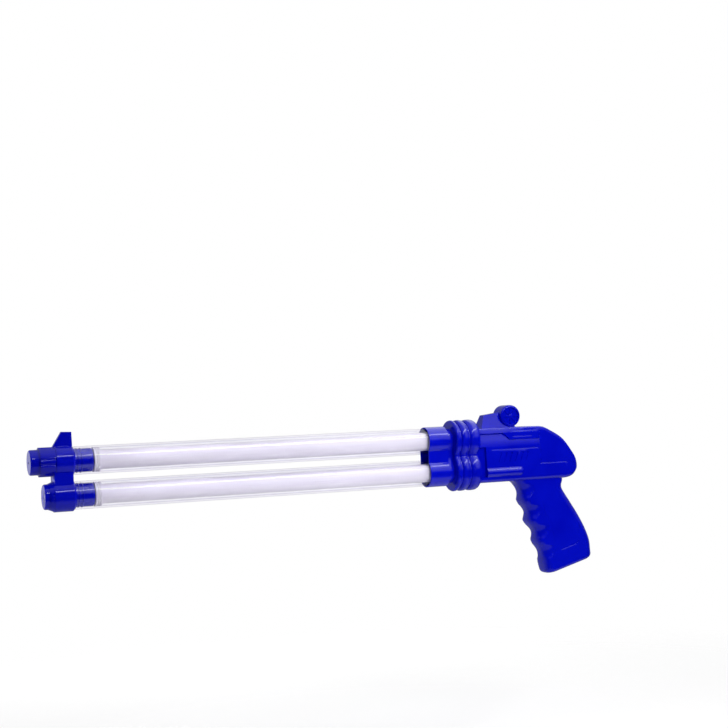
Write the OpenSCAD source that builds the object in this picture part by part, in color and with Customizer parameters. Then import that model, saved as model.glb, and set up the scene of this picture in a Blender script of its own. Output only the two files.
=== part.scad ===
// Double-barrel water squirter: a pistol handle holds two rods, and the clear barrels slide along them.
// Frame: +X runs forward to the nozzles, +Y to the holder's left, +Z up, with the origin in the hand.

/* [Barrels] */
// Distance between the two barrel axes
barrel_pitch = 30.5; // [29:0.5:36]
// Outer diameter of a clear tube
tube_od = 25; // [23:0.5:27]
// Wall of a clear tube
tube_wall = 1.5; // [1.2:0.1:2]
// Length of a clear tube
tube_len = 357; // [240:1:420]
// Outer diameter of a hollow rod
rod_od = 17.5; // [15:0.5:18]
// Wall of a hollow rod
rod_wall = 1.8; // [1.4:0.1:3]
// Height of the plane midway between the barrels over the hand
barrel_height = 72; // [66:1:80]

/* [Pistons] */
// Length of a piston's head
piston_len = 6; // [5:0.5:10]
// Radial gap between a piston's head and the tube
piston_gap = 0.2; // [0.1:0.05:0.4]
// Thickness of the rubber ring in a piston's groove
seal_d = 2.4; // [1.8:0.1:3]
// Radial gap between a seal and the tube it runs in
seal_gap = 0.03; // [0.02:0.01:0.08]
// Length of the spigots that close a rod's two ends
spigot_len = 14; // [8:1:24]
// Gap between a piston and the nozzle plug at rest
piston_rest_gap = 0.5; // [0.4:0.1:2]

/* [Nozzles] */
// Length of the plug that each tube slips over
plug_len = 17; // [12:1:26]
// Radius of the band that holds both tubes
band_r = 13.8; // [13.8:0.1:16]
// Length of that band
band_len = 17; // [14:1:26]
// How much further the lower band reaches
lower_reach = 2; // [0:0.5:4]
// Length of the upper nozzle's fluted part
upper_flute_len = 13; // [6:0.5:20]
// Length of the upper nozzle's tip
upper_tip_len = 8.5; // [5:0.5:16]
// Length of the lower nozzle's fluted part
lower_flute_len = 4; // [2:0.5:14]
// Length of the lower nozzle's tip
lower_tip_len = 4; // [4:0.5:12]
// Radius of the nozzle tips
tip_r = 11.2; // [9:0.1:12]
// Diameter of the jet's orifice
orifice_d = 2.5; // [1:0.1:3.5]
// Number of flutes round a nozzle
flute_count = 18; // [10:2:24]
// Height of the front sight over the band
front_sight_h = 12; // [6:0.5:18]
// Thickness of the front sight's blade
front_sight_t = 4.6; // [3:0.2:7]

/* [Collar] */
// Length of the collar that joins the tubes' rear ends
collar_len = 20.5; // [14:0.5:30]
// Wall of the collar round a tube
collar_wall = 1.2; // [1:0.1:1.8]
// Thickness of the collar's rear wall, which guides the rods
collar_end = 3.5; // [2.5:0.5:6]
// Half width of the collar's waist between the tubes
collar_waist = 10; // [9:0.5:11]

/* [Handle] */
// Place of the rearmost ring's rear face, ahead of the hand
ring_rear_x = 81.5; // [78:0.5:95]
// Radius of the rings round a barrel axis
ring_r = 19.3; // [18.5:0.1:21]
// How far the rings' waist lies in from that radius
ring_waist_depth = 6.1; // [4:0.1:6.6]
// Mean width of the rings
ring_w = 7.7; // [6.5:0.1:9]
// Width of a groove between rings
ring_groove_w = 1.5; // [1:0.1:2]
// Depth of a groove between rings
ring_groove_depth = 2; // [1.6:0.1:2.4]
// Number of rings
ring_count = 3; // [3:1:4]
// Length of the nose ahead of the rings, which the collar rests on
nose_len = 5.6; // [4:0.1:9]
// How far the nose lies under the collar's outline
nose_drop = 2.6; // [1:0.1:3]
// Length of the body's neck behind the rings
neck_len = 4.5; // [3:0.5:8]
// Length of the body behind its neck
body_len = 106; // [98:1:118]
// Height of the body
body_h = 52.8; // [48:0.1:58]
// Half thickness of the body
body_t = 15.3; // [14.5:0.1:17]
// Height of the rear sight over the body
rear_sight_h = 15; // [10:0.5:20]
// Half thickness of the rear sight's block at its foot
rear_sight_t = 8; // [6:0.5:9]
// Radius of the round boss behind the rear sight
knob_r = 10.8; // [8:0.2:11]
// Half length of that boss
knob_t = 9.3; // [8:0.1:12]

/* [Grip] */
// Length of the grip from its base up into the body
grip_h = 105.7; // [103:0.1:112]
// Depth of the grip from front to back
grip_d = 60; // [56:1:64]
// Half thickness of the grip
grip_t = 13; // [12:0.1:14]
// Height of the hand's centre over the base
grip_hand = 45.7; // [44:0.1:49]
// Lean of the grip's base
grip_tilt = 15.2; // [12:0.2:18]
// Edge rounding at the base
base_round = 4; // [3:0.5:7]

/* [Fixings] */
// Diameter of a screw's shank
screw_d = 2.9; // [2.5:0.1:3.5]
// Diameter of a screw's head
screw_head_d = 5.6; // [4.6:0.2:6.4]
// Thickness of a screw's head
screw_head_t = 2; // [1.4:0.2:2.6]
// Length of a screw under its head
screw_len = 12; // [9:0.5:14]
// Diameter of a screw boss
boss_d = 8.4; // [7.6:0.2:10]
// Diameter of a locating pin
pin_d = 3; // [2.4:0.2:4]
// Length of a locating pin
pin_len = 4; // [2:0.5:6]

/* [Hidden] */
$fn = 64;
// Colours of the moulded pieces, the rods, the seals and the clear tubes
shell_colour = "#0a08a8";
rod_colour = "#f2f2f6";
seal_colour = "#e8e8ec";
tube_colour = [0.9, 0.93, 0.97, 0.35];

// How far a cut runs past the face it opens
over = 0.5;
// Gap round a screw, a pin or a rod that is held still
hold_gap = 0.05;
// Gap round a rod where it slides through the collar
slide_gap = 0.1;
// Gap between the collar and the handle at rest
rest_gap = 0.3;
// Height of the body's top over the rods
top_lift = 1;
// Wall of the moulded shells
shell_wall = 2.6;
// Floor of the shells under the side relief
relief_wall = 5.4;
// Depth of the fine lines cut into the shells
line_depth = 0.4;
// Width of the fine lines cut into the shells
line_w = 2;
// How much shallower the palm line is cut
palm_lift = 0.15;
// Width of a slanted vent slot
slot_w = 1.7;
// Depth of a slanted vent slot
slot_depth = 0.7;
// Lean of the bowed upper side panel at its top edge
facet_lean = 18;
// Edge rounding along the body's top
body_round = 1.6;
// Radius of the half-round rib along the body
rib_r = 5;
// How far that rib stands out
rib_rise = 2.6;
// Relief of the round boss's end face
knob_depth = 1.4;
// Rim of the round boss's end face
knob_rim = 2.4;
// Edge rounding of that rim
knob_round = 2;
// Width of the spokes on that face
knob_spoke_w = 1.5;
// Radius of the flange that holds a rod's rear end
flange_r = 10.4;
// Thickness of that flange
flange_t = 4;
// Place of that flange ahead of the rings' rear face
flange_inset = 1;
// Height of a sealing rib on a nozzle plug
plug_rib = 0.6;
// Gap between a plug's ribs and the tube
plug_gap = 0.05;
// Wall of a nozzle plug
plug_wall = 2.4;
// Depth of a flute
flute_depth = 0.7;
// Radius of the round cutter that makes a flute
flute_cut_r = 1.6;
// Lift of the round boss over the body
knob_lift = 0.3;
// Draft of the grooves between the rings
groove_draft = 0.2;
// Edge rounding on the outer edges of the first and the last ring
end_edge = 1.8;
// Edge rounding on the rings' edges beside the grooves
ring_edge = 1.3;
// Edge rounding of the nozzle tips
tip_round = 1.6;
// Edge break on the turned shapes
edge = 0.8;
// Steps in the grip's base rounding
base_steps = 4;
// Steps in a quarter round
round_steps = 6;
// Steps in a quarter round of the grip
grip_steps = 8;
// Levels in the grip's loft
grip_levels = 70;
// Stations in the body's loft
body_stations = 30;
// Number of vent slots
slot_count = 6;
// Lean of the vent slots
slot_lean = 22;
// Number of spokes on the round boss
spoke_count = 8;

// Outlines as shares: [share of length from the front, share of height]
body_top_shares = [[0, 1], [0.3, 1], [0.56, 1], [0.627, 0.985], [0.709, 0.904], [0.799, 0.797],
    [0.852, 0.7], [0.915, 0.535], [0.972, 0.385], [1, 0.275]];
body_bottom_shares = [[0, 0], [0.4, 0], [0.84, 0], [0.899, 0.017], [0.942, 0.052], [0.983, 0.126],
    [1, 0.2]];
body_side_shares = [[0, 1], [0.4, 1], [0.84, 1], [0.9, 0.97], [0.95, 0.88], [0.985, 0.72], [1, 0.56]];
// Outlines as shares: [share of grip height from the base, share of grip depth]
grip_front_shares = [[0, 0.385], [0.048, 0.383], [0.104, 0.375], [0.213, 0.345], [0.327, 0.386],
    [0.414, 0.352], [0.534, 0.424], [0.615, 0.38], [0.731, 0.432], [0.82, 0.403], [0.899, 0.432],
    [0.945, 0.5], [1, 0.6]];
grip_back_shares = [[0, -0.515], [0.065, -0.535], [0.159, -0.566], [0.283, -0.549], [0.429, -0.492],
    [0.57, -0.418], [0.703, -0.347], [0.746, -0.35], [0.792, -0.4], [1, -0.48]];
// Reach of the front corner round the grip's side: [share of grip height, share of the half thickness]
grip_corner_shares = [[0, 0.6], [0.104, 0.46], [0.5, 0.45], [0.86, 0.46], [0.93, 0.7], [1, 0.78]];
// Finger dips: places and half height as shares of grip height, reach as a share of the half thickness
dip_shares = [0.207, 0.408, 0.609, 0.814];
dip_half_share = 0.072;
dip_reach_share = 1.06;
// Corner shapes as shares of the half thickness
grip_flat_share = 0.2;
grip_back_corner_share = 0.78;
body_lean_share = 0.33;
body_corner_share = 0.3;
thin_share = 0.33;
// Half width of the body's top: [share of length from the front, share of the half thickness]
body_flat_shares = [[0, 0.91], [0.22, 0.91], [0.36, 0.96], [1, 0.96]];
// How much wider the rearmost ring is than the mean, and the foremost narrower
ring_taper_share = 0.395;
// Radius along one ring's width, as shares of the ring's edge rounding
ring_crown_shares = [[0, 1], [0.06, 0.6], [0.16, 0.28], [0.3, 0.08], [0.5, 0], [0.7, 0.08], [0.84, 0.28],
    [0.94, 0.6], [1, 1]];
// Side relief on the body as shares of its length and height
facet_shares = [0.6, 0.904];
facet_end_share = 0.58;
keep_shares = [[0.202, 0.904], [0.269, 0.776], [0.58, 0.771]];
top_line_shares = [[0.302, 0.5, 0.939, 0.05], [0.302, 0.5, 0.83, 0]];
mid_line_shares = [0.076, 0.566, 0.6];
slot_span_shares = [0.14, 0.42];
slot_height_shares = [0.375, 0.54];
panel_line_shares = [0.58, 0.86, 0.305, 0.9];
rib_shares = [0.019, 0.36, 0.186];
// Recess in the neck's side: [share of height from, to] and what is left of the half thickness
neck_shares = [0.1, 0.655];
neck_t_share = 0.8;
// Rear sight as shares of the body's length and the sight's height
sight_shares = [[0.01, -0.1], [0.062, 0.86], [0.218, 1], [0.311, 1], [0.374, -0.1]];
sight_top_share = 0.45;
knob_x_share = 0.319;
knob_hub_share = 0.34;
knob_spoke_share = 0.6;
// Front sight as shares of the band's length and the blade's height
blade_shares = [[1.09, -0.2], [0.56, 1], [0.04, 0.97], [0.02, -0.2]];
// Web between the bands, as shares of the band's length
web_shares = [0.09, 1.06];
web_t_share = 0.69;
// Where the water way starts to narrow, as a share of the band
way_share = 0.6;
// Ledge and panel lines on the grip's side, as shares of the grip's height and depth
ledge_shares = [[0.18, 0.05], [0.18, -0.25], [0.205, -0.32]];
palm_shares = [[0.71, 0.16], [0.35, 0.1]];
// Screw and pin places: [share of length, share of height] on the body, then on the grip
body_screw_shares = [[0.8, 0.36], [0.36, 0.1]];
grip_screw_shares = [[0.5, 0.02], [0.12, -0.08]];
body_pin_shares = [[0.55, 0.84], [0.1, 0.54]];
grip_pin_shares = [[0.3, -0.1]];
body_pocket_shares = [[0.04, 0.06], [0.04, 0.9], [0.6, 0.9], [0.8, 0.72], [0.93, 0.4], [0.93, 0.14],
    [0.84, 0.06]];
grip_pocket_shares = [[0.06, 0.2], [0.24, 0.19], [0.43, 0.2], [0.62, 0.23], [0.8, 0.25], [0.8, -0.21],
    [0.69, -0.23], [0.55, -0.31], [0.2, -0.44], [0.06, -0.41]];
plug_rib_shares = [0.58, 0.78];

barrel_zs = [barrel_height + barrel_pitch / 2, barrel_height - barrel_pitch / 2];
tube_r = tube_od / 2;
bore_r = tube_r - tube_wall;
rod_r = rod_od / 2;
rod_bore_r = rod_r - rod_wall;
collar_r = tube_r + collar_wall;
ring_waist = ring_r - ring_waist_depth;
ring_front_x = ring_x(ring_count) - ring_groove_w;
handle_front_x = ring_front_x + nose_len;
collar_x = handle_front_x + rest_gap;
tube_x = collar_x + collar_end;
band_x = tube_x + tube_len;
plug_x = band_x - plug_len;
piston_x = plug_x - piston_rest_gap - piston_len;
flange_x = ring_rear_x + flange_inset;
rod_x = flange_x + flange_t;
rod_len = piston_x - rod_x;
seal_mid_r = bore_r - seal_gap - seal_d / 2;
flute_r = band_r - edge;
body_x = ring_rear_x - neck_len;
body_z = barrel_height + barrel_pitch / 2 + rod_r + top_lift - body_h;
body_top = body_z + body_h;
lean_h = body_t * body_lean_share;
corner = body_t * body_corner_share;
screw_seat = screw_len / 2;
reach = body_len + grip_h;

// Width of one ring, counted from the rear, and the place of its rear face
function ring_wide(i) = ring_w * (1 + ring_taper_share * (1 - 2 * i / (ring_count - 1)));
function ring_x(i) = i == 0 ? ring_rear_x : ring_x(i - 1) + ring_wide(i - 1) + ring_groove_w;

// Smooth curve through a table of [key, value] with rising keys
function rise(t, i) = let (a = max(i - 1, 0), b = min(i + 1, len(t) - 1))
    (t[b][1] - t[a][1]) / (t[b][0] - t[a][0]);
function span(t, k, i = 0) = i >= len(t) - 2 || k < t[i + 1][0] ? i : span(t, k, i + 1);
function curve(t, k) = let (i = span(t, k), w = t[i + 1][0] - t[i][0], s = (k - t[i][0]) / w)
    t[i][1] * (1 + 2 * s) * pow(1 - s, 2) + w * rise(t, i) * s * pow(1 - s, 2)
    + t[i + 1][1] * pow(s, 2) * (3 - 2 * s) + w * rise(t, i + 1) * pow(s, 2) * (s - 1);

// Arc from direction a to direction b about a centre
function quarter(c, rx, ry, a, b, n = round_steps) = [for (i = [0 : n]) let (t = a + (b - a) * i / n)
    [c[0] + rx * cos(t), c[1] + ry * sin(t)]];

// Right-hand side of the two-lobed outline, from the top down, with a fillet in the waist
function lobes(r, waist) = let (h = barrel_pitch / 2,
    f = (pow(h, 2) + pow(waist, 2) - pow(r, 2)) / (2 * (r - waist)),
    t = atan2(-h, waist + f),
    n = 2 * round_steps)
    concat([for (i = [0 : n]) let (a = 90 + (t - 90) * i / n) [r * cos(a), h + r * sin(a)]],
        [for (i = [1 : round_steps - 1]) let (a = -t - 2 * -t * i / round_steps)
            [waist + f - f * cos(a), f * sin(a)]],
        [for (i = [0 : n]) let (a = -t - (90 - t) * i / n) [r * cos(a), -h + r * sin(a)]]);

// Half solid skinned over rings of points whose open side lies past the parting plane
module skin(rings) {
    n = len(rings[0]);
    m = len(rings);
    sides = [for (i = [0 : m - 2]) for (j = [0 : n - 1]) let (a = i * n + j, b = i * n + (j + 1) % n)
        each [[a, a + n, b], [b, a + n, b + n]]];
    ends = [[for (j = [0 : n - 1]) j], [for (j = [n - 1 : -1 : 0]) (m - 1) * n + j]];
    polyhedron(points = [for (r = rings) each r], faces = concat(sides, ends), convexity = 8);
}

// Runs a shape drawn upright along a barrel
module along(x, z) {
    translate([x, 0, z])
        rotate([0, 90, 0])
            children();
}

// Runs an outline of the front view along the barrels
module front_outline(x, length) {
    translate([x, 0, 0])
        rotate([90, 0, 90])
            linear_extrude(length)
                children();
}

// Runs an outline of the side view across the object, between two depths
module side_outline(points, y0, y1) {
    translate([0, y1, 0])
        rotate([90, 0, 0])
            linear_extrude(y1 - y0)
                polygon(points);
}

// Full outline of the two lobes about the barrel axes
module lobe_outline(r, waist) {
    half = lobes(r, waist);
    translate([0, barrel_height])
        polygon(concat(half, [for (i = [len(half) - 2 : -1 : 1]) [-half[i][0], half[i][1]]]));
}

// Runs a cutter's section along a side face between two points of the side view
module side_run(a, b, y) {
    d = b - a;
    translate([a[0], y, a[1]])
        rotate([0, -atan2(d[1], d[0]), 0])
            front_outline(0, norm(d))
                children();
}

// Fine line with sloping sides, cut into a side face
module side_line(a, b, y) {
    side_run(a, b, y)
        polygon([[-line_depth, 0], [line_depth, -line_w], [line_depth, line_w]]);
}

// Shares of the body, of the sight on it and of the grip, as places in the side view
function body_at(s) = [body_x - s[0] * body_len, body_z + s[1] * body_h];
function sight_at(s) = [body_x - s[0] * body_len, body_top + s[1] * rear_sight_h];
function grip_at(s) = let (u = s[1] * grip_d, w = s[0] * grip_h - grip_hand)
    [u * cos(grip_tilt) + w * sin(grip_tilt), w * cos(grip_tilt) - u * sin(grip_tilt)];

// Nose and rings, skinned from the front back to the neck
module ring_half() {
    nose = [for (x = [handle_front_x + over, ring_front_x + groove_draft])
        [x, collar_r - nose_drop, collar_waist - nose_drop]];
    rings = [for (i = [ring_count - 1 : -1 : 0]) let (x = ring_x(i), w = ring_wide(i)) each concat(
        [for (c = ring_crown_shares) let (
            outer = i == (c[0] > 1 / 2 ? 0 : ring_count - 1),
            drop = c[1] * (outer ? end_edge : ring_edge))
            [x + w - c[0] * w, ring_r - drop, ring_waist - drop]],
        i == 0 ? [[x - over, ring_r - end_edge, ring_waist - end_edge]]
            : [for (g = [x - groove_draft, x - ring_groove_w + groove_draft])
                [g, ring_r - ring_groove_depth, ring_waist - ring_groove_depth]])];
    intersection() {
        skin([for (s = concat(nose, rings)) let (half = lobes(s[1], s[2]), top = half[0][1])
            [for (p = concat([[-over, top]], half, [[-over, -top]])) [s[0], p[0], barrel_height + p[1]]]]);
        translate([ring_rear_x, -2 * over, barrel_zs[1] - 2 * ring_r])
            cube([handle_front_x - ring_rear_x, 2 * ring_r, barrel_pitch + 4 * ring_r]);
    }
}

// Half section of the body: rounded top edge, leaning strip under it, side face and rounded lower edge
function body_section(t, flat, top, low) = let (
    c = min(lean_h, (top - low) * thin_share),
    e = min(body_round, c / 2),
    r = min(corner, (top - low) * thin_share))
    concat([[-over, top]], quarter([t * flat - e, top - e], e, e, 90, 0), [[t, top - c]],
        quarter([t - r, low + r], r, r, 0, -90), [[-over, low]]);

// Neck and body, lofted from the rings back to the rounded rear end
module body_half() {
    intersection() {
        skin([for (i = [0 : body_stations]) let (
            k = sin(90 * i / body_stations),
            x = i == 0 ? ring_rear_x + 2 * over : body_x - k * body_len,
            top = body_z + curve(body_top_shares, k) * body_h,
            low = body_z + curve(body_bottom_shares, k) * body_h,
            t = curve(body_side_shares, k) * body_t)
            [for (p = body_section(t, curve(body_flat_shares, k), top, low)) [x, p[0], p[1]]]]);
        translate([body_x - 2 * body_len, -2 * over, body_z - body_h])
            cube([2 * body_len + neck_len + over, 2 * body_t, 3 * body_h]);
    }
}

// Reach of the grip's front corner at a height, further round in the scooped finger dips
function grip_corner(k) = let (c = curve(grip_corner_shares, k),
    scoop = max([for (d = dip_shares) 1 - pow((k - d) / dip_half_share, 2)]))
    c + (dip_reach_share - c) * max(0, scoop);

// Grip, lofted up from its rounded base, with the finger waves in its front edge
module grip_half() {
    base = [for (i = [0 : base_steps - 1]) base_round * (1 - cos(90 * i / base_steps))];
    shaft_h = grip_h - base_round;
    levels = concat(base, [for (i = [0 : grip_levels]) base_round + shaft_h * i / grip_levels]);
    rotate([0, grip_tilt, 0])
        translate([0, 0, -grip_hand])
            skin([for (z = levels) let (
                k = z / grip_h,
                inset = base_round - sqrt(pow(base_round, 2) - pow(base_round - min(z, base_round), 2)),
                front = curve(grip_front_shares, k) * grip_d - inset,
                back = curve(grip_back_shares, k) * grip_d + inset,
                t = grip_t - inset,
                rf = t * grip_corner(k),
                rb = t * grip_back_corner_share,
                y = t * grip_flat_share)
                [for (p = concat([[front, -over]],
                    quarter([front - rf, y], rf, t - y, 0, 90, grip_steps),
                    quarter([back + rb, y], rb, t - y, 90, 180, grip_steps),
                    [[back, -over]])) [p[0], p[1], z]]]);
}

// Rear sight: a wedge block with leaning sides, and a round boss with a spoked end face
module sight_half() {
    hub_r = knob_r * knob_hub_share;
    ridge = body_top + rear_sight_h / (1 - sight_top_share);
    intersection() {
        side_outline([for (s = sight_shares) sight_at(s)], -over, rear_sight_t + over);
        front_outline(body_x - body_len, body_len + over)
            polygon([[-2 * over, body_z], [rear_sight_t, body_z], [rear_sight_t, body_top], [0, ridge],
                [-2 * over, ridge]]);
    }
    translate([body_x - knob_x_share * body_len, 0, body_top + knob_r + knob_lift])
        rotate([-90, 0, 0])
            difference() {
                rotate_extrude()
                    polygon(concat([[0, -over], [knob_r, -over]],
                        quarter([knob_r - knob_round, knob_t - knob_round], knob_round, knob_round, 0, 90),
                        [[0, knob_t]]));
                translate([0, 0, knob_t - knob_depth])
                    difference() {
                        cylinder(r = knob_r - knob_rim, h = knob_depth + over);
                        translate([0, 0, knob_depth - hub_r])
                            sphere(r = hub_r);
                        for (i = [0 : spoke_count - 1])
                            rotate([0, 0, 360 * i / spoke_count])
                                translate([0, -knob_spoke_w / 2, 0])
                                    cube([knob_r, knob_spoke_w, knob_depth * knob_spoke_share]);
                    }
            }
}

// Half-round rib low on the body's side, with a ball end at the rear
module rib_half() {
    rear = body_at([rib_shares[1], rib_shares[2]]);
    translate([0, body_t + rib_rise - rib_r, 0])
        along(rear[0], rear[1]) {
            cylinder(r = rib_r, h = (rib_shares[1] - rib_shares[0]) * body_len);
            sphere(r = rib_r);
        }
}

// What is cut into the body's side before the rings join it: the bowed upper panel and the neck's recess
module panel() {
    z0 = body_z + facet_shares[0] * body_h;
    z1 = body_z + facet_shares[1] * body_h;
    bow_r = (z1 - z0) / sin(facet_lean);
    last = len(keep_shares) - 1;
    recess_len = neck_len + rib_shares[0] * body_len;
    difference() {
        front_outline(body_x - facet_end_share * body_len, facet_end_share * body_len + neck_len + 2 * over)
            polygon(concat(quarter([body_t - bow_r, z0], bow_r, bow_r, 0, facet_lean),
                [[body_t + over, z1], [body_t + over, z0]]));
        side_outline([for (s = concat(keep_shares, [[keep_shares[last][0], 1], [keep_shares[0][0], 1]]))
            body_at(s)], 0, body_t + 2 * over);
    }
    translate([ring_rear_x - recess_len, body_t * neck_t_share, body_z + neck_shares[0] * body_h])
        cube([recess_len + 2 * over, body_t, (neck_shares[1] - neck_shares[0]) * body_h]);
}

// Fine lines and vent slots in the body's and the grip's side faces
module relief() {
    for (s = top_line_shares)
        side_line(body_at([s[1], s[2]]), body_at([s[0], s[2]]), body_t - s[3] * lean_h);
    side_line(body_at([mid_line_shares[1], mid_line_shares[2]]),
        body_at([mid_line_shares[0], mid_line_shares[2]]), body_t);
    for (i = [0 : slot_count - 1])
        let (x = slot_span_shares[0] + (slot_span_shares[1] - slot_span_shares[0]) * i / (slot_count - 1),
            h = (slot_height_shares[1] - slot_height_shares[0]) * body_h,
            low = body_at([x, slot_height_shares[0]]))
            side_run(low, low + h * [-tan(slot_lean), 1], body_t)
                translate([-slot_depth, -slot_w / 2])
                    square([slot_depth + over, slot_w]);
    side_line(body_at([panel_line_shares[0], panel_line_shares[2]]),
        body_at([panel_line_shares[0], panel_line_shares[3]]), body_t);
    side_line(body_at([panel_line_shares[1], panel_line_shares[2]]),
        body_at([panel_line_shares[0], panel_line_shares[2]]), body_t);
    for (i = [0 : len(ledge_shares) - 2])
        side_line(grip_at(ledge_shares[i + 1]), grip_at(ledge_shares[i]), grip_t);
    side_line(grip_at(palm_shares[1]), grip_at(palm_shares[0]), grip_t + palm_lift);
}

// Places of the screws and of the locating pins in the side view
screw_places = concat([[ring_x(1) + ring_wide(1) / 2, barrel_height]],
    [for (s = body_screw_shares) body_at(s)], [for (s = grip_screw_shares) grip_at(s)]);
pin_places = concat([for (s = body_pin_shares) body_at(s)], [for (s = grip_pin_shares) grip_at(s)]);

// Round shape across the object at a place of the side view, from one depth to another
module post(place, r, y0, y1) {
    translate([place[0], y0, place[1]])
        rotate([-90, 0, 0])
            cylinder(r = r, h = y1 - y0);
}

// Hollows of one half, with the screw and pin bosses left standing
module hollows() {
    cavity_x = rod_x + shell_wall;
    cavity_r = ring_r - ring_groove_depth - shell_wall;
    difference() {
        union() {
            front_outline(cavity_x, ring_front_x - shell_wall - cavity_x)
                lobe_outline(cavity_r, ring_waist - ring_groove_depth - shell_wall);
            side_outline([for (s = body_pocket_shares) body_at(s)], -over, body_t - relief_wall);
            side_outline([for (s = grip_pocket_shares) grip_at(s)], -over, grip_t - shell_wall);
        }
        for (p = concat(screw_places, pin_places))
            post(p, boss_d / 2, -2 * over, body_t);
    }
    for (z = barrel_zs) {
        along(rod_x - over, z)
            cylinder(r = rod_r + hold_gap, h = handle_front_x - rod_x + 2 * over);
        along(flange_x - hold_gap, z)
            cylinder(r = flange_r + hold_gap, h = flange_t + 2 * hold_gap);
    }
}

// One moulded half of the handle, on the +Y side, cut flat at the parting plane
module shell_half() {
    difference() {
        union() {
            ring_half();
            difference() {
                body_half();
                panel();
            }
            grip_half();
            sight_half();
            rib_half();
        }
        relief();
        hollows();
        translate([-reach, -2 * over, -reach])
            cube([2 * reach, 2 * over, 2 * reach]);
    }
}

module left_shell() {
    color(shell_colour) {
        difference() {
            shell_half();
            for (p = screw_places)
                post(p, screw_d / 2 + hold_gap, -over, screw_seat + over);
        }
        for (p = pin_places)
            post(p, pin_d / 2, -pin_len, over);
    }
}

module right_shell() {
    color(shell_colour)
        mirror([0, 1, 0])
            difference() {
                shell_half();
                for (p = screw_places) {
                    post(p, screw_d / 2 + hold_gap, -over, screw_seat + over);
                    post(p, screw_head_d / 2 + hold_gap, screw_seat, body_t + ring_r);
                }
                for (p = pin_places)
                    post(p, pin_d / 2 + hold_gap, -over, pin_len + over);
            }
}

module shell_screws() {
    color("silver")
        for (p = screw_places) {
            post(p, screw_d / 2, -screw_seat, screw_seat);
            post(p, screw_head_d / 2, -screw_seat - screw_head_t, -screw_seat);
        }
}

// Hollow rod, held in the handle at its rear end
module rod(z) {
    color(rod_colour)
        along(rod_x, z)
            difference() {
                cylinder(r = rod_r, h = rod_len);
                translate([0, 0, -over])
                    cylinder(r = rod_bore_r, h = rod_len + 2 * over);
            }
}

// Plug with the flange that the two shells trap
module rod_plug(z) {
    color(rod_colour)
        along(flange_x, z) {
            cylinder(r = flange_r, h = flange_t);
            cylinder(r = rod_bore_r - hold_gap, h = flange_t + spigot_len);
        }
}

// Piston with its seal's groove, and a spigot that closes the rod's front end
module piston(z) {
    color(rod_colour)
        along(piston_x, z)
            difference() {
                union() {
                    cylinder(r = bore_r - piston_gap, h = piston_len);
                    translate([0, 0, -spigot_len])
                        cylinder(r = rod_bore_r - hold_gap, h = spigot_len + over);
                }
                translate([0, 0, piston_len / 2 - seal_d / 2 - hold_gap])
                    difference() {
                        cylinder(r = bore_r, h = seal_d + 2 * hold_gap);
                        cylinder(r = seal_mid_r - seal_d / 2 - hold_gap, h = seal_d + 2 * hold_gap);
                    }
            }
}

// Rubber ring that seals a piston in its tube
module seal(z) {
    color(seal_colour)
        along(piston_x + piston_len / 2, z)
            rotate_extrude()
                translate([seal_mid_r, 0])
                    circle(d = seal_d);
}

module tube(z) {
    color(tube_colour)
        along(tube_x, z)
            difference() {
                cylinder(r = tube_r, h = tube_len);
                translate([0, 0, -over])
                    cylinder(r = bore_r, h = tube_len + 2 * over);
            }
}

// Collar over the tubes' rear ends, whose rear wall guides the rods
module tube_collar() {
    hollow_w = 2 * (collar_waist - collar_wall);
    color(shell_colour)
        difference() {
            front_outline(collar_x, collar_len) {
                for (z = barrel_zs)
                    translate([0, z])
                        circle(r = collar_r);
                translate([-collar_waist, barrel_zs[1]])
                    square([2 * collar_waist, barrel_pitch]);
            }
            for (z = barrel_zs) {
                along(tube_x, z)
                    cylinder(r = tube_r + hold_gap, h = collar_len);
                along(collar_x - over, z)
                    cylinder(r = rod_r + slide_gap, h = collar_len);
            }
            translate([tube_x, -hollow_w / 2, barrel_zs[1]])
                cube([collar_len, hollow_w, barrel_pitch]);
        }
}

// One nozzle: ribbed plug, band, fluted part and tip, with its water way
module nozzle(z, band, flute_len, flute_end_r, tip_len) {
    plug_r = bore_r - plug_gap - plug_rib;
    plug_round = 2 * edge;
    band_end = plug_len + band;
    flute_end = band_end + flute_len;
    tip_end = flute_end + tip_len;
    way_r = plug_r - plug_wall;
    along(plug_x, z)
        difference() {
            rotate_extrude()
                polygon(concat([[0, 0]],
                    quarter([plug_r - plug_round, plug_round], plug_round, plug_round, -90, 0),
                    [for (s = plug_rib_shares) let (y = s * plug_len)
                        each [[plug_r, y], [plug_r + plug_rib, y + edge], [plug_r, y + 2 * edge]]],
                    [[plug_r, plug_len], [band_r - 2 * edge, plug_len], [band_r, plug_len + 2 * edge],
                    [band_r, band_end - edge], [flute_r, band_end], [flute_end_r, flute_end],
                    [tip_r, flute_end]],
                    quarter([tip_r - tip_round, tip_end - tip_round], tip_round, tip_round, 0, 90),
                    [[0, tip_end]]));
            for (i = [0 : flute_count - 1])
                rotate([0, 0, 360 * i / flute_count])
                    translate([flute_r + flute_cut_r - flute_depth, 0, band_end])
                        cylinder(r = flute_cut_r, h = flute_len + over);
            rotate_extrude()
                polygon([[0, -over], [way_r, -over], [way_r, plug_len + band * way_share],
                    [orifice_d / 2, flute_end], [orifice_d / 2, tip_end + over], [0, tip_end + over]]);
        }
}

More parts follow.
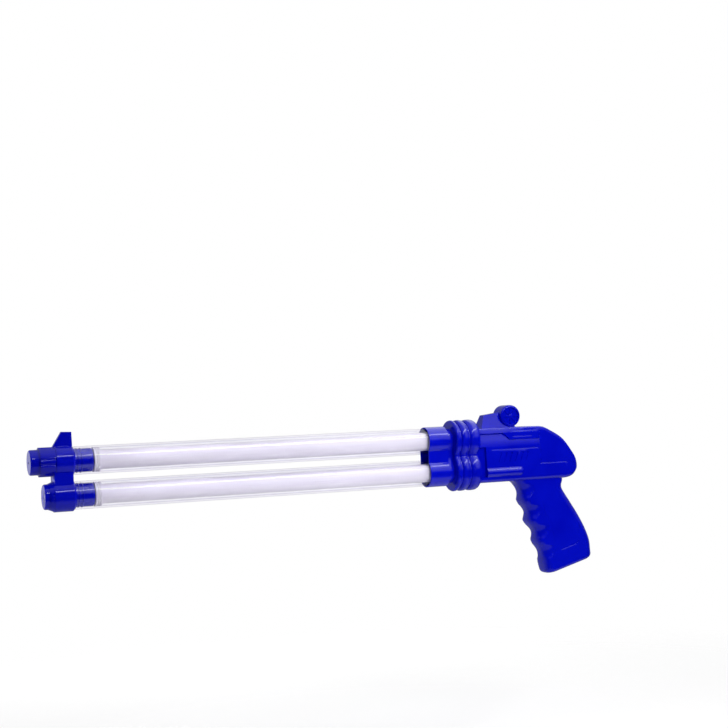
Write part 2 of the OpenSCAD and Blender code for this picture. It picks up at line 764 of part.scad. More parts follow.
// Both nozzles joined by a web, with the front sight's blade
module nozzle_yoke() {
    web_x0 = band_x + web_shares[0] * band_len;
    web_x1 = band_x + web_shares[1] * band_len;
    web_t = band_r * web_t_share;
    band_top = barrel_zs[0] + band_r;
    color(shell_colour) {
        nozzle(barrel_zs[0], band_len, upper_flute_len, flute_r, upper_tip_len);
        nozzle(barrel_zs[1], band_len + lower_reach, lower_flute_len, tip_r + edge / 4, lower_tip_len);
        difference() {
            translate([web_x0, -web_t, barrel_zs[1]])
                cube([web_x1 - web_x0, 2 * web_t, barrel_pitch]);
            for (z = barrel_zs)
                along(plug_x, z)
                    cylinder(r = band_r - edge, h = plug_len + band_len);
        }
        difference() {
            side_outline([for (s = blade_shares)
                [band_x + s[0] * band_len, band_top + s[1] * front_sight_h]],
                -front_sight_t / 2, front_sight_t / 2);
            along(plug_x, barrel_zs[0])
                cylinder(r = band_r - edge, h = plug_len + 2 * band_len);
        }
    }
}

module upper_rod() rod(barrel_zs[0]);
module lower_rod() rod(barrel_zs[1]);
module upper_rod_plug() rod_plug(barrel_zs[0]);
module lower_rod_plug() rod_plug(barrel_zs[1]);
module upper_piston() piston(barrel_zs[0]);
module lower_piston() piston(barrel_zs[1]);
module upper_seal() seal(barrel_zs[0]);
module lower_seal() seal(barrel_zs[1]);
module upper_tube() tube(barrel_zs[0]);
module lower_tube() tube(barrel_zs[1]);

left_shell();
right_shell();
shell_screws();
upper_rod();
lower_rod();
upper_rod_plug();
lower_rod_plug();
upper_piston();
lower_piston();
upper_seal();
lower_seal();
nozzle_yoke();
upper_tube();
lower_tube();
tube_collar();
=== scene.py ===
import bpy
import math
from mathutils import Matrix, Vector


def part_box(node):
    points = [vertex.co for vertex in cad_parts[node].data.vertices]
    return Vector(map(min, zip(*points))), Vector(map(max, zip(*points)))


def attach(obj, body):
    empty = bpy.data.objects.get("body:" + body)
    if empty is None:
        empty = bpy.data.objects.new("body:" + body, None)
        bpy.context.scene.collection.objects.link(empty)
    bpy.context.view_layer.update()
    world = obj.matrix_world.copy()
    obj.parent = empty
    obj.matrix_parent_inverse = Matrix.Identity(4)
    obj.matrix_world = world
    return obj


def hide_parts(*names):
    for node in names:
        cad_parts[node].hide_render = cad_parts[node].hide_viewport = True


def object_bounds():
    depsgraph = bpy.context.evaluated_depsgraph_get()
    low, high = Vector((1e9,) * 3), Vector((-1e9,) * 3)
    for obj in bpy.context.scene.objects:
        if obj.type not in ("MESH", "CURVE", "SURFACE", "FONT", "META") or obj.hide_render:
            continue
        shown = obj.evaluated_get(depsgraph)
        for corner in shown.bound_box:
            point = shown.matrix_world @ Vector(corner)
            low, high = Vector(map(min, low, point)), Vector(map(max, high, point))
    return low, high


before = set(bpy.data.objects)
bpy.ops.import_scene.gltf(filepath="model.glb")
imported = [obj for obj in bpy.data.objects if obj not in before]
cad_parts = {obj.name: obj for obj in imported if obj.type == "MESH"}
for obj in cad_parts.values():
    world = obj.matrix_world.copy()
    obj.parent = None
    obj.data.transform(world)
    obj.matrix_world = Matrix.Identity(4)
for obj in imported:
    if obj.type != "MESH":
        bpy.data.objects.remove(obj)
cadLow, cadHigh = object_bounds()
mm = 0.001
quarterTurn = math.pi / 2
levels = ("upper", "lower")  # the two barrels
scene = bpy.context.scene
scene.view_settings.view_transform = "Standard"
print("stage: frame loaded with", len(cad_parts), "nodes")


def takeUp(piece):  # the one object that the next operators act on
    if bpy.context.mode != "OBJECT":
        bpy.ops.object.mode_set(mode="OBJECT")
    bpy.ops.object.select_all(action="DESELECT")
    piece.select_set(True)
    bpy.context.view_layer.objects.active = piece


def openEdit(piece, kind="VERT"):  # edit mode with all of the piece selected
    takeUp(piece)
    bpy.ops.object.mode_set(mode="EDIT")
    bpy.ops.mesh.select_mode(type=kind)
    bpy.ops.mesh.select_all(action="SELECT")


def pickPoints(piece, test):  # leaves edit mode open with the points that pass the test
    openEdit(piece)
    bpy.ops.mesh.select_all(action="DESELECT")
    bpy.ops.object.mode_set(mode="OBJECT")
    for point in piece.data.vertices:
        point.select = test(point.co)
    bpy.ops.object.mode_set(mode="EDIT")


def placeInMesh():  # what is selected ends at the origin, with its place in its mesh
    bpy.ops.object.transform_apply(location=True, rotation=True, scale=True)


def useModifier(piece, kind, **settings):
    takeUp(piece)
    modifier = piece.modifiers.new(kind.title(), kind)
    for name, value in settings.items():
        setattr(modifier, name, value)
    bpy.ops.object.modifier_apply(modifier=modifier.name)


def settle(piece, name, smoothAngle=35):  # its name, its place in the mesh, soft shading
    takeUp(piece)
    piece.name = name
    piece.data.name = name
    placeInMesh()
    bpy.ops.object.shade_smooth_by_angle(angle=math.radians(smoothAngle))


def dress(piece, body, node, material):  # its finish, and what it rides on and stands for
    piece.data.materials.clear()
    piece.data.materials.append(material)
    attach(piece, body)
    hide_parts(node)


def linear(hexColour):  # sRGB hex to linear light
    parts = [int(hexColour[i:i + 2], 16) / 255 for i in (1, 3, 5)]
    return [c / 12.92 if c <= 0.04045 else ((c + 0.055) / 1.055) ** 2.4 for c in parts] + [1]


def addNode(tree, kind, inputs=None, stops=(), **settings):  # an input takes a value or a node's output
    node = tree.nodes.new(kind)
    for name, value in settings.items():
        setattr(node, name, value)
    for number, (place, colour) in enumerate(stops):  # a colour ramp's two ends
        node.color_ramp.elements[number].position = place
        node.color_ramp.elements[number].color = linear(colour)
    for name, value in (inputs or {}).items():
        if isinstance(value, bpy.types.NodeSocket):
            tree.links.new(value, node.inputs[name])
        else:
            node.inputs[name].default_value = value
    return node


def newMaterial(name):
    material = bpy.data.materials.new(name)
    material.use_nodes = True
    material.node_tree.nodes.clear()
    return material, material.node_tree


def perMetre(millimetres):  # pattern scale whose features are about that size
    return 1000 / millimetres


# polypropylene, injection moulded: a deep even blue with a wet gloss, whose reflections waver a little
# where the walls have sunk; sizes in mm, with the grain drawn coarser than a mould's polish to show
blueLook = {"low": "#0209bc", "high": "#040ec7", "tintFrom": 0.35, "tintTo": 0.65, "ior": 1.49,
            "cloud": 34, "cloudDetail": 2,
            "sink": 11, "sinkDetail": 1, "sinkDepth": 0.2, "sinkStrength": 0.15,
            "grain": 0.9, "grainDetail": 3, "grainDepth": 0.05, "grainStrength": 0.06,
            "grainFrom": 0.3, "grainTo": 0.7, "glossy": 0.05, "dull": 0.1}


def makeBlue():
    look = blueLook
    material, tree = newMaterial("mouldedPolypropyleneBlue")
    place = addNode(tree, "ShaderNodeTexCoord").outputs["Object"]
    cloud = addNode(tree, "ShaderNodeTexNoise", {"Vector": place, "Scale": perMetre(look["cloud"]),
                                                 "Detail": look["cloudDetail"]})
    sink = addNode(tree, "ShaderNodeTexNoise", {"Vector": place, "Scale": perMetre(look["sink"]),
                                                "Detail": look["sinkDetail"]})
    grain = addNode(tree, "ShaderNodeTexNoise", {"Vector": place, "Scale": perMetre(look["grain"]),
                                                 "Detail": look["grainDetail"]})
    tint = addNode(tree, "ShaderNodeValToRGB", {"Fac": cloud.outputs["Fac"]},
                   [(look["tintFrom"], look["low"]), (look["tintTo"], look["high"])])
    rough = addNode(tree, "ShaderNodeMapRange", {
        "Value": grain.outputs["Fac"], "From Min": look["grainFrom"], "From Max": look["grainTo"],
        "To Min": look["glossy"], "To Max": look["dull"]})
    wave = addNode(tree, "ShaderNodeBump", {
        "Height": sink.outputs["Fac"], "Strength": look["sinkStrength"],
        "Distance": look["sinkDepth"] * mm})
    bump = addNode(tree, "ShaderNodeBump", {
        "Height": grain.outputs["Fac"], "Strength": look["grainStrength"],
        "Distance": look["grainDepth"] * mm, "Normal": wave.outputs["Normal"]})
    skin = addNode(tree, "ShaderNodeBsdfPrincipled", {
        "Base Color": tint.outputs["Color"], "IOR": look["ior"], "Roughness": rough.outputs["Result"],
        "Normal": bump.outputs["Normal"]})
    addNode(tree, "ShaderNodeOutputMaterial", {"Surface": skin.outputs["BSDF"]})
    return material


# polyethylene, extruded: cool white with a soft sheen and long faint lines from the die; sizes in mm,
# with the lines drawn coarser than real to show; lengthwise is how fast they change along the rod
whiteLook = {"low": "#efe9fb", "high": "#f6f2ff", "tintFrom": 0.3, "tintTo": 0.7, "ior": 1.51,
             "rough": 0.38, "lines": 1.2, "lineDetail": 3, "lineDepth": 0.05, "lineStrength": 0.2,
             "lengthwise": 0.02}


def makeWhite():
    look = whiteLook
    material, tree = newMaterial("extrudedPolyethyleneWhite")
    place = addNode(tree, "ShaderNodeTexCoord").outputs["Object"]
    drawn = addNode(tree, "ShaderNodeMapping", {"Vector": place, "Scale": (look["lengthwise"], 1, 1)})
    lines = addNode(tree, "ShaderNodeTexNoise", {
        "Vector": drawn.outputs["Vector"], "Scale": perMetre(look["lines"]), "Detail": look["lineDetail"]})
    tint = addNode(tree, "ShaderNodeValToRGB", {"Fac": lines.outputs["Fac"]},
                   [(look["tintFrom"], look["low"]), (look["tintTo"], look["high"])])
    bump = addNode(tree, "ShaderNodeBump", {
        "Height": lines.outputs["Fac"], "Strength": look["lineStrength"],
        "Distance": look["lineDepth"] * mm})
    skin = addNode(tree, "ShaderNodeBsdfPrincipled", {
        "Base Color": tint.outputs["Color"], "IOR": look["ior"], "Roughness": look["rough"],
        "Normal": bump.outputs["Normal"]})
    addNode(tree, "ShaderNodeOutputMaterial", {"Surface": skin.outputs["BSDF"]})
    return material


# rigid PVC, extruded clear: a see-through wall that greys only at its edges, with long thin glints that
# the die's lines make a little uneven; sizes in mm, with the lines drawn coarser than real to show
clearLook = {"face": "#fefeff", "edge": "#f2f0f8", "edgeFrom": 0.35, "edgeTo": 1, "rough": 0.06,
             "blend": 0.5, "faceShine": 0.04, "edgeShine": 0.3, "steepness": 5,
             "lines": 2.5, "lineDetail": 2, "lineDepth": 0.1, "lineStrength": 0.1, "lengthwise": 0.015}


def makeClear():
    look = clearLook
    material, tree = newMaterial("extrudedPvcClear")
    place = addNode(tree, "ShaderNodeTexCoord").outputs["Object"]
    drawn = addNode(tree, "ShaderNodeMapping", {"Vector": place, "Scale": (look["lengthwise"], 1, 1)})
    lines = addNode(tree, "ShaderNodeTexNoise", {
        "Vector": drawn.outputs["Vector"], "Scale": perMetre(look["lines"]), "Detail": look["lineDetail"]})
    bump = addNode(tree, "ShaderNodeBump", {
        "Height": lines.outputs["Fac"], "Strength": look["lineStrength"],
        "Distance": look["lineDepth"] * mm})
    turned = addNode(tree, "ShaderNodeLayerWeight", {"Blend": look["blend"]}).outputs["Facing"]
    tint = addNode(tree, "ShaderNodeValToRGB", {"Fac": turned},
                   [(look["edgeFrom"], look["face"]), (look["edgeTo"], look["edge"])])
    wall = addNode(tree, "ShaderNodeBsdfTransparent", {"Color": tint.outputs["Color"]})
    shine = addNode(tree, "ShaderNodeBsdfGlossy", {
        "Color": (1, 1, 1, 1), "Roughness": look["rough"], "Normal": bump.outputs["Normal"]})
    steep = addNode(tree, "ShaderNodeMath", {0: turned, 1: look["steepness"]}, operation="POWER")
    share = addNode(tree, "ShaderNodeMath", {
        0: steep.outputs[0], 1: look["edgeShine"], 2: look["faceShine"]}, operation="MULTIPLY_ADD")
    both = addNode(tree, "ShaderNodeMixShader", {
        0: share.outputs[0], 1: wall.outputs["BSDF"], 2: shine.outputs["BSDF"]})
    addNode(tree, "ShaderNodeOutputMaterial", {"Surface": both.outputs[0]})
    return material


# silicone rubber, moulded: pale and dull, with the uneven bloom of dusting powder; sizes in mm, with
# the bloom drawn coarser than real to show
rubberLook = {"low": "#e8e5f2", "high": "#f0eef8", "ior": 1.52, "rough": 0.6,
              "bloom": 0.7, "bloomDetail": 4, "bloomDepth": 0.04, "bloomStrength": 0.3}


def makeRubber():
    look = rubberLook
    material, tree = newMaterial("mouldedSiliconeRubberPale")
    place = addNode(tree, "ShaderNodeTexCoord").outputs["Object"]
    bloom = addNode(tree, "ShaderNodeTexNoise", {"Vector": place, "Scale": perMetre(look["bloom"]),
                                                 "Detail": look["bloomDetail"]})
    tint = addNode(tree, "ShaderNodeValToRGB", {"Fac": bloom.outputs["Fac"]},
                   [(0, look["low"]), (1, look["high"])])
    bump = addNode(tree, "ShaderNodeBump", {
        "Height": bloom.outputs["Fac"], "Strength": look["bloomStrength"],
        "Distance": look["bloomDepth"] * mm})
    skin = addNode(tree, "ShaderNodeBsdfPrincipled", {
        "Base Color": tint.outputs["Color"], "IOR": look["ior"], "Roughness": look["rough"],
        "Normal": bump.outputs["Normal"]})
    addNode(tree, "ShaderNodeOutputMaterial", {"Surface": skin.outputs["BSDF"]})
    return material


# steel, zinc plated: a cool silver whose gloss changes from crystal to crystal of the zinc; the crystals,
# in mm, are drawn coarser than real to show
steelLook = {"low": "#b9bcc0", "high": "#d4d6d8", "spangle": 0.8, "spangleDetail": 3,
             "glossy": 0.22, "dull": 0.42}


def makeSteel():
    look = steelLook
    material, tree = newMaterial("zincPlatedSteel")
    place = addNode(tree, "ShaderNodeTexCoord").outputs["Object"]
    spangle = addNode(tree, "ShaderNodeTexNoise", {"Vector": place, "Scale": perMetre(look["spangle"]),
                                                   "Detail": look["spangleDetail"]})
    tint = addNode(tree, "ShaderNodeValToRGB", {"Fac": spangle.outputs["Fac"]},
                   [(0, look["low"]), (1, look["high"])])
    rough = addNode(tree, "ShaderNodeMapRange", {
        "Value": spangle.outputs["Fac"], "To Min": look["glossy"], "To Max": look["dull"]})
    skin = addNode(tree, "ShaderNodeBsdfPrincipled", {
        "Base Color": tint.outputs["Color"], "Metallic": 1, "Roughness": rough.outputs["Result"]})
    addNode(tree, "ShaderNodeOutputMaterial", {"Surface": skin.outputs["BSDF"]})
    return material


blue = makeBlue()
white = makeWhite()
clear = makeClear()
rubber = makeRubber()
steel = makeSteel()
print("stage: materials made")

# moulded pieces: the solid's own faces, merged, with the small edge rounding of a mould; sizes in mm and
# angles in degrees; the flutes lie between two distances behind the upper nozzle's end
mouldedEdges = {"merge": 0.004, "flatAngle": 0.6, "mostSides": 24, "sharpAngle": 32, "round": 0.35,
                "steps": 2, "smoothAngle": 40, "flutesRear": 21.6, "flutesFront": 8.3}
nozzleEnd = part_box("nozzle_yoke")[1].x


def mergedCopy(node):
    takeUp(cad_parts[node])
    bpy.ops.object.duplicate()
    piece = bpy.context.object
    for key in list(piece.keys()):  # the copy drops the marks of a CAD node
        del piece[key]
    piece.parent = None
    openEdit(piece)
    bpy.ops.mesh.remove_doubles(threshold=mouldedEdges["merge"] * mm)
    bpy.ops.mesh.dissolve_limited(angle_limit=math.radians(mouldedEdges["flatAngle"]))
    bpy.ops.mesh.select_mode(type="FACE")
    bpy.ops.mesh.select_all(action="DESELECT")
    bpy.ops.mesh.select_face_by_sides(number=mouldedEdges["mostSides"], type="GREATER")
    bpy.ops.mesh.quads_convert_to_tris(ngon_method="BEAUTY")  # a long outline can fold when it is rounded
    bpy.ops.object.mode_set(mode="OBJECT")
    return piece


def roundEdges(piece, name):
    edges = mouldedEdges
    openEdit(piece, "EDGE")
    bpy.ops.mesh.select_all(action="DESELECT")
    bpy.ops.mesh.edges_select_sharp(sharpness=math.radians(edges["sharpAngle"]))
    bpy.ops.object.mode_set(mode="OBJECT")
    points = piece.data.vertices
    for edge in piece.data.edges:  # the flutes run out to nothing, so their edges stay as they are
        x = (points[edge.vertices[0]].co.x + points[edge.vertices[1]].co.x) / 2
        behind = (nozzleEnd - x) / mm
        edge.select = edge.select and not edges["flutesFront"] < behind < edges["flutesRear"]
    bpy.ops.object.mode_set(mode="EDIT")
    bpy.ops.mesh.bevel(offset=edges["round"] * mm, segments=edges["steps"], clamp_overlap=True,
                       miter_outer="ARC")
    bpy.ops.object.mode_set(mode="OBJECT")
    settle(piece, name, edges["smoothAngle"])
    useModifier(piece, "WEIGHTED_NORMAL", keep_sharp=True)


for node, body, name in [("left_shell", "handle", "leftShell"),
                         ("right_shell", "handle", "rightShell"),
                         ("nozzle_yoke", "barrels", "nozzleYoke"),
                         ("tube_collar", "barrels", "tubeCollar")]:
    piece = mergedCopy(node)
    roundEdges(piece, name)
    dress(piece, body, node, blue)
print("stage: moulded pieces made")

tubeShape = {"wall": 1.5, "rim": 0.3}  # mm
rodShape = {"wall": 1.8, "rim": 0.4}  # mm
pipeDetail = {"sides": 128, "rimSteps": 3, "rimAngle": 50}


def makePipe(name, node, wall, rim):  # round pipe along X with its two rims broken
    low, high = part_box(node)
    bpy.ops.object.select_all(action="DESELECT")
    bpy.ops.mesh.primitive_cylinder_add(vertices=pipeDetail["sides"], radius=(high.z - low.z) / 2,
                                        depth=high.x - low.x, end_fill_type="NOTHING",
                                        location=(low + high) / 2, rotation=(0, quarterTurn, 0))
    piece = bpy.context.object
    placeInMesh()
    useModifier(piece, "SOLIDIFY", thickness=wall * mm, offset=-1, use_even_offset=True)
    useModifier(piece, "BEVEL", width=rim * mm, segments=pipeDetail["rimSteps"], limit_method="ANGLE",
                angle_limit=math.radians(pipeDetail["rimAngle"]))
    settle(piece, name)
    return piece


for level in levels:
    tube = makePipe(level + "Tube", level + "_tube", **tubeShape)
    dress(tube, "barrels", level + "_tube", clear)
    rod = makePipe(level + "Rod", level + "_rod", **rodShape)
    dress(rod, "handle", level + "_rod", white)
print("stage: tubes and rods made")


def turnPiece(height, profile, sides):  # the profile is (x, radius) in mm, the axis is along X
    bpy.ops.object.select_all(action="DESELECT")
    x, radius = profile[0]
    bpy.ops.mesh.primitive_circle_add(vertices=sides, radius=radius * mm, fill_type="NGON",
                                      location=(x * mm, 0, height), rotation=(0, quarterTurn, 0))
    piece = bpy.context.object
    placeInMesh()
    openEdit(piece, "FACE")
    for nextX, nextRadius in profile[1:]:
        bpy.ops.mesh.extrude_region_move(TRANSFORM_OT_translate={"value": ((nextX - x) * mm, 0, 0)})
        scale = nextRadius / radius
        bpy.ops.transform.resize(value=(1, scale, scale), center_override=(nextX * mm, 0, height))
        x, radius = nextX, nextRadius
    bpy.ops.mesh.select_all(action="SELECT")
    bpy.ops.mesh.normals_make_consistent(inside=False)
    bpy.ops.object.mode_set(mode="OBJECT")
    return piece


# lengths, radii and the broken rim in mm; the head's radius and the two ends come from the frame
pistonShape = {"headLength": 6, "spigot": 6.9, "groove": 8.5, "grooveWidth": 2.5, "rim": 0.12,
               "rimSteps": 3, "rimAngle": 40, "sides": 96}


def makePiston(level):
    shape = pistonShape
    low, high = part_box(level + "_piston")
    head = (high.z - low.z) / 2 / mm
    front = high.x / mm
    rear = front - shape["headLength"]
    grooveRear = front - (shape["headLength"] + shape["grooveWidth"]) / 2
    grooveFront = grooveRear + shape["grooveWidth"]
    profile = [(low.x / mm, shape["spigot"]), (rear, shape["spigot"]), (rear, head), (grooveRear, head),
               (grooveRear, shape["groove"]), (grooveFront, shape["groove"]), (grooveFront, head),
               (front, head)]
    piece = turnPiece((low.z + high.z) / 2, profile, shape["sides"])
    useModifier(piece, "BEVEL", width=shape["rim"] * mm, segments=shape["rimSteps"], limit_method="ANGLE",
                angle_limit=math.radians(shape["rimAngle"]))
    settle(piece, level + "Piston")
    dress(piece, "handle", level + "_piston", white)


# radius of the ring's middle, its thickness and the radius of its flat band in mm
sealShape = {"middle": 9.77, "thickness": 2.4, "flat": 10.85, "sides": 96, "roundSides": 28,
             "smoothAngle": 60}


def makeSeal(level):
    shape = sealShape
    low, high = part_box(level + "_seal")
    middle = (low + high) / 2
    bpy.ops.object.select_all(action="DESELECT")
    bpy.ops.mesh.primitive_torus_add(location=middle, rotation=(0, quarterTurn, 0),
                                     major_segments=shape["sides"], minor_segments=shape["roundSides"],
                                     major_radius=shape["middle"] * mm,
                                     minor_radius=shape["thickness"] / 2 * mm)
    piece = bpy.context.object
    placeInMesh()
    limit = shape["flat"] * mm
    for point in piece.data.vertices:  # the band that runs on the tube is flat
        radius = math.hypot(point.co.y, point.co.z - middle.z)
        if radius > limit:
            point.co.y *= limit / radius
            point.co.z = middle.z + (point.co.z - middle.z) * limit / radius
    settle(piece, level + "Seal", shape["smoothAngle"])
    dress(piece, "handle", level + "_seal", rubber)


for level in levels:
    makePiston(level)
    makeSeal(level)
    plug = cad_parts[level + "_rod_plug"]  # the shells hide the plugs, so the solids stay
    plug.data.materials.clear()
    plug.data.materials.append(white)
print("stage: pistons and seals made")

# radii and lengths in mm; the dome's steps are (depth under its top, distance in from the head's radius)
screwShape = {"head": 2.8, "headLength": 2, "dome": [(0, 0.5), (0.35, 0.1), (0.8, 0)], "shank": 1.45,
              "core": 1.1, "length": 12, "pitch": 1.1, "plainLength": 2, "pointLength": 1.5, "point": 0.4,
              "crossWidth": 0.75, "crossReach": 1.7, "crossDepth": 1.1, "crossTaper": 0.45,
              "sides": 32, "smoothAngle": 40}


def screwPlaces():  # the axis of each screw in the solid, as (x, z)
    openEdit(mergedCopy("shell_screws"))
    bpy.ops.mesh.separate(type="LOOSE")
    bpy.ops.object.mode_set(mode="OBJECT")
    loose = list(bpy.context.selected_objects)
    places = []
    for solid in loose:
        xs = [point.co.x for point in solid.data.vertices]
        zs = [point.co.z for point in solid.data.vertices]
        places.append(((min(xs) + max(xs)) / 2, (min(zs) + max(zs)) / 2))
    for solid in loose:
        bpy.data.objects.remove(solid)
    return sorted(places)


def makeScrew():  # one screw with its head's top at the origin, turned in the end to run along Y
    shape = screwShape
    under = shape["headLength"]
    profile = [(depth, shape["head"] - inset) for depth, inset in shape["dome"]]
    profile += [(under, shape["head"]), (under, shape["shank"])]
    x = under + shape["plainLength"]
    end = under + shape["length"] - shape["pointLength"]
    while x + shape["pitch"] < end:  # thread as rings, which only shows with the shells apart
        profile += [(x, shape["core"]), (x + shape["pitch"] / 2, shape["shank"])]
        x += shape["pitch"]
    profile += [(end, shape["core"]), (under + shape["length"], shape["point"])]
    screw = turnPiece(0, profile, shape["sides"])
    cutters = []
    crossLength = 2 * shape["crossReach"]
    for across, upright in [(shape["crossWidth"], crossLength), (crossLength, shape["crossWidth"])]:
        bpy.ops.object.select_all(action="DESELECT")
        bpy.ops.mesh.primitive_cube_add(size=1, location=(0, 0, 0))
        bpy.ops.transform.resize(value=(2 * shape["crossDepth"] * mm, across * mm, upright * mm))
        cutter = bpy.context.object
        placeInMesh()
        pickPoints(cutter, lambda point: point.x > 0)  # the end of the recess tapers as a bit does
        bpy.ops.transform.resize(value=(1, shape["crossTaper"], shape["crossTaper"]),
                                 center_override=(0, 0, 0))
        bpy.ops.object.mode_set(mode="OBJECT")
        useModifier(screw, "BOOLEAN", operation="DIFFERENCE", solver="EXACT", object=cutter)
        cutters.append(cutter)
    for cutter in cutters:
        bpy.data.objects.remove(cutter)
    takeUp(screw)
    bpy.ops.transform.rotate(value=-quarterTurn, orient_axis="Z", center_override=(0, 0, 0))
    placeInMesh()
    return screw


def makeScrews():
    screw = makeScrew()
    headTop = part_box("shell_screws")[0].y
    copies = []
    for x, z in screwPlaces():
        takeUp(screw)
        bpy.ops.object.duplicate()
        copies.append(bpy.context.object)
        copies[-1].location = (x, headTop, z)
    bpy.data.objects.remove(screw)
    bpy.ops.object.select_all(action="DESELECT")
    for piece in copies:
        piece.select_set(True)
    bpy.context.view_layer.objects.active = copies[0]
    placeInMesh()
    bpy.ops.object.join()
    settle(bpy.context.object, "shellScrews", screwShape["smoothAngle"])
    dress(bpy.context.object, "handle", "shell_screws", steel)


makeScrews()
print("stage: screws made")

# camera at the photograph's place, worked out from the axes of the two barrels, in degrees, pixels and mm
photoView = {"yaw": 22.463, "elevation": -1.916, "roll": -2.627, "focal": 1500, "frame": 728,
             "sensor": 36, "anchor": (455, 0, 72), "anchorPixel": (94.774, 476.807), "distance": 1325.8,
             "nearest": 10}


def makeCamera():
    view = photoView
    yaw, lift, roll = (math.radians(view[name]) for name in ("yaw", "elevation", "roll"))
    back = Vector((math.sin(yaw) * math.cos(lift), math.cos(yaw) * math.cos(lift), math.sin(lift)))
    right = (-back).cross(Vector((0, 0, 1))).normalized()
    up = right.cross(-back)
    side = right * math.cos(roll) + up * math.sin(roll)
    top = up * math.cos(roll) - right * math.sin(roll)
    half = view["frame"] / 2
    across = (view["anchorPixel"][0] - half) / view["focal"] * view["distance"]
    down = (view["anchorPixel"][1] - half) / view["focal"] * view["distance"]
    place = Vector(view["anchor"]) - side * across + top * down + back * view["distance"]
    bpy.ops.object.camera_add()
    camera = bpy.context.object
    matrix = Matrix((side, top, back)).transposed().to_4x4()
    matrix.translation = place * mm
    camera.matrix_world = matrix
    camera.data.sensor_width = view["sensor"]
    camera.data.lens = view["sensor"] * view["focal"] / view["frame"]
    camera.data.clip_start = view["nearest"] * mm
    scene.camera = camera


makeCamera()
print("stage: camera placed")

# lamps: place, aim and size in metres, power in watts and beam in degrees; along is the way the first
# size runs, and mirrored says whether reflections show the lamp
plainLamp = {"along": (1, 0, 0), "beam": 180, "mirrored": False}  # where a lamp says nothing else
lamps = {
    "overhead": {"place": (0.2, 0.25, 1.3), "aim": (0.2, 0, 0.05), "size": (1.6, 0.9), "power": 3.6},
    "strip": {"place": (-0.3, 1.09, 1.3), "aim": (0.25, 0, 0.07), "size": (1.8, 0.18), "power": 6.6,
              "along": (-0.8, 0, 0.6), "mirrored": True},  # thin bright lines on rounded shapes
    "tipBox": {"place": (0.7, -0.46, 0.09), "aim": (0.507, 0, 0.072), "size": (0.25, 0.25), "power": 0.009,
               "beam": 45, "mirrored": True},  # sheen on the nozzles' end faces
    "barrelBox": {"place": (0.295, 0.36, -0.14), "aim": (0.295, 0, 0.07), "size": (0.32, 0.08),
                  "power": 0.023, "beam": 16},  # the rods' lower sides
    "rodBox": {"place": (0.38, 0.3, 0.545), "aim": (0.39, 0, 0.072), "size": (0.12, 0.06), "power": 0.009,
               "beam": 14},  # the rods behind the nozzles
    "tipLight": {"place": (1, -0.12, 0.1), "aim": (0.5, 0, 0.07), "size": (0.08, 0.08), "power": 0.032,
                 "along": (0, 1, 0), "beam": 24},  # the nozzles' tips
    "rearFill": {"place": (0.1, -1.3, 0.4), "aim": (0.2, 0, 0.06), "size": (1.2, 0.8), "power": 10},
    "key": {"place": (0.04, 0.5, 0.25), "aim": (0.1, 0, 0.06), "size": (0.3, 0.3), "power": 1.5},
    "cameraFill": {"place": (0.05, 1.4, 0.45), "aim": (0.1, 0, 0.05), "size": (1, 1), "power": 1.7}}


def makeLamps():
    for name, changes in lamps.items():
        lamp = {**plainLamp, **changes}
        bpy.ops.object.light_add(type="AREA", location=lamp["place"])
        light = bpy.context.object
        light.name = name
        light.data.shape = "RECTANGLE"
        light.data.size, light.data.size_y = lamp["size"]
        light.data.energy = lamp["power"]
        light.data.spread = math.radians(lamp["beam"])
        away = (Vector(lamp["place"]) - Vector(lamp["aim"])).normalized()
        across = away.cross(Vector(lamp["along"])).normalized()
        turn = Matrix((across.cross(away), across, away)).transposed().to_4x4()
        light.matrix_world = Matrix.Translation(lamp["place"]) @ turn
        light.visible_glossy = lamp["mirrored"]
        light.visible_camera = False


# surroundings: white behind the object, an even level on matt surfaces, and for reflections a soft box
# in two steps of height, with dimmer light above, below and behind; a rise or fall is the span of the
# direction's x, y or z in which that light comes in or goes
studioSky = {"white": 1.0, "ambient": 0.18,
             "boxLow": 0.95, "boxLowRise": (0.08, 0.32), "boxHigh": 1.1, "boxHighRise": (0.45, 0.68),
             "boxNearRise": (-0.22, -0.4), "boxFarFall": (-0.55, -0.85), "boxFar": 0.25,
             "overhead": 0.6, "overheadRise": (0.4, 0.98),
             "below": 0.3, "belowRear": 0.65, "belowRise": (-0.5, -0.68),
             "behind": 0.35, "behindRise": (0.05, -0.6)}


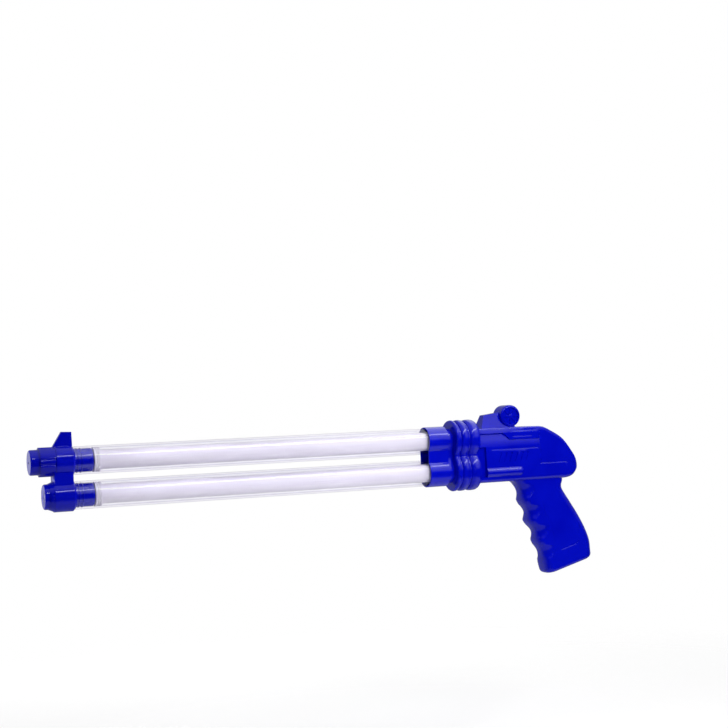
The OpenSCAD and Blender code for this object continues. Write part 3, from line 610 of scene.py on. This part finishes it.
def makeSky():
    sky = studioSky
    world = bpy.data.worlds.new("studioWorld")
    scene.world = world
    world.use_nodes = True
    tree = world.node_tree
    tree.nodes.clear()
    way = addNode(tree, "ShaderNodeTexCoord").outputs["Generated"]
    x, y, z = addNode(tree, "ShaderNodeSeparateXYZ", {0: way}).outputs
    near = addNode(tree, "ShaderNodeMapRange", {
        "Value": x, "From Min": sky["boxNearRise"][0], "From Max": sky["boxNearRise"][1]})
    far = addNode(tree, "ShaderNodeMapRange", {
        "Value": x, "From Min": sky["boxFarFall"][0], "From Max": sky["boxFarFall"][1],
        "To Min": 1, "To Max": sky["boxFar"]})
    rear = addNode(tree, "ShaderNodeMath", {0: near.outputs[0], 1: far.outputs[0]}, operation="MULTIPLY")
    low = addNode(tree, "ShaderNodeMapRange", {
        "Value": z, "From Min": sky["boxLowRise"][0], "From Max": sky["boxLowRise"][1],
        "To Max": sky["boxLow"]})
    high = addNode(tree, "ShaderNodeMapRange", {
        "Value": z, "From Min": sky["boxHighRise"][0], "From Max": sky["boxHighRise"][1],
        "To Max": sky["boxHigh"]})
    soft = addNode(tree, "ShaderNodeMath", {0: low.outputs[0], 1: high.outputs[0]}, operation="ADD")
    mirrored = addNode(tree, "ShaderNodeMath", {0: soft.outputs[0], 1: rear.outputs[0]},
                       operation="MULTIPLY")
    overhead = addNode(tree, "ShaderNodeMapRange", {
        "Value": z, "From Min": sky["overheadRise"][0], "From Max": sky["overheadRise"][1],
        "To Max": sky["overhead"]})
    belowLevel = addNode(tree, "ShaderNodeMapRange", {
        "Value": rear.outputs[0], "To Min": sky["below"], "To Max": sky["belowRear"]})
    below = addNode(tree, "ShaderNodeMapRange", {
        "Value": z, "From Min": sky["belowRise"][0], "From Max": sky["belowRise"][1],
        "To Max": belowLevel.outputs[0]})
    behind = addNode(tree, "ShaderNodeMapRange", {
        "Value": y, "From Min": sky["behindRise"][0], "From Max": sky["behindRise"][1],
        "To Max": sky["behind"]})
    for part in (overhead, below, behind):
        mirrored = addNode(tree, "ShaderNodeMath", {0: mirrored.outputs[0], 1: part.outputs[0]},
                           operation="MAXIMUM")
    ray = addNode(tree, "ShaderNodeLightPath").outputs
    seen = addNode(tree, "ShaderNodeMath", {0: ray["Is Camera Ray"], 1: ray["Is Transmission Ray"]},
                   operation="MAXIMUM")
    unseen = addNode(tree, "ShaderNodeMix", {
        "Factor": ray["Is Glossy Ray"], "A": sky["ambient"], "B": mirrored.outputs[0]})
    level = addNode(tree, "ShaderNodeMix", {
        "Factor": seen.outputs[0], "A": unseen.outputs[0], "B": sky["white"]})
    light = addNode(tree, "ShaderNodeBackground", {"Color": (1, 1, 1, 1), "Strength": level.outputs[0]})
    addNode(tree, "ShaderNodeOutputWorld", {"Surface": light.outputs[0]})


# paper floor under the object, in metres: it fades out between two shares of its radius, and it hides
# nothing from below
studioFloor = {"x": 0.2, "drop": 0.16, "radius": 0.9, "sides": 96, "fadeFrom": 0.3, "fadeTo": 0.95,
               "paper": "#eeeeee", "lift": 0.35}


def makeFloor():
    sizes = studioFloor
    bpy.ops.object.select_all(action="DESELECT")
    bpy.ops.mesh.primitive_circle_add(vertices=sizes["sides"], radius=sizes["radius"], fill_type="NGON",
                                      location=(sizes["x"], 0, cadLow.z - sizes["drop"]))
    floor = bpy.context.object
    floor.name = "floor"
    floor.visible_glossy = False
    material, tree = newMaterial("studioFloorPaper")
    place = addNode(tree, "ShaderNodeTexCoord").outputs["Object"]
    out = addNode(tree, "ShaderNodeVectorMath", {0: place}, operation="LENGTH")
    fade = addNode(tree, "ShaderNodeMapRange", {
        "Value": out.outputs["Value"], "From Min": sizes["fadeFrom"] * sizes["radius"],
        "From Max": sizes["fadeTo"] * sizes["radius"]})
    paper = addNode(tree, "ShaderNodeBsdfDiffuse", {"Color": linear(sizes["paper"])})
    lift = addNode(tree, "ShaderNodeEmission", {"Color": (1, 1, 1, 1), "Strength": sizes["lift"]})
    lifted = addNode(tree, "ShaderNodeAddShader", {0: paper.outputs[0], 1: lift.outputs[0]})
    ray = addNode(tree, "ShaderNodeLightPath").outputs
    seen = addNode(tree, "ShaderNodeMath", {0: ray["Is Camera Ray"], 1: ray["Is Transmission Ray"]},
                   operation="MAXIMUM")
    sheet = addNode(tree, "ShaderNodeMixShader", {
        0: seen.outputs[0], 1: paper.outputs[0], 2: lifted.outputs[0]})
    gone = addNode(tree, "ShaderNodeBsdfTransparent")
    underside = addNode(tree, "ShaderNodeNewGeometry").outputs["Backfacing"]
    hidden = addNode(tree, "ShaderNodeMath", {0: fade.outputs[0], 1: underside}, operation="MAXIMUM")
    shown = addNode(tree, "ShaderNodeMixShader", {
        0: hidden.outputs[0], 1: sheet.outputs[0], 2: gone.outputs[0]})
    addNode(tree, "ShaderNodeOutputMaterial", {"Surface": shown.outputs[0]})
    floor.data.materials.append(material)


makeLamps()
makeSky()
makeFloor()
print("stage: lamps, surroundings and floor made")
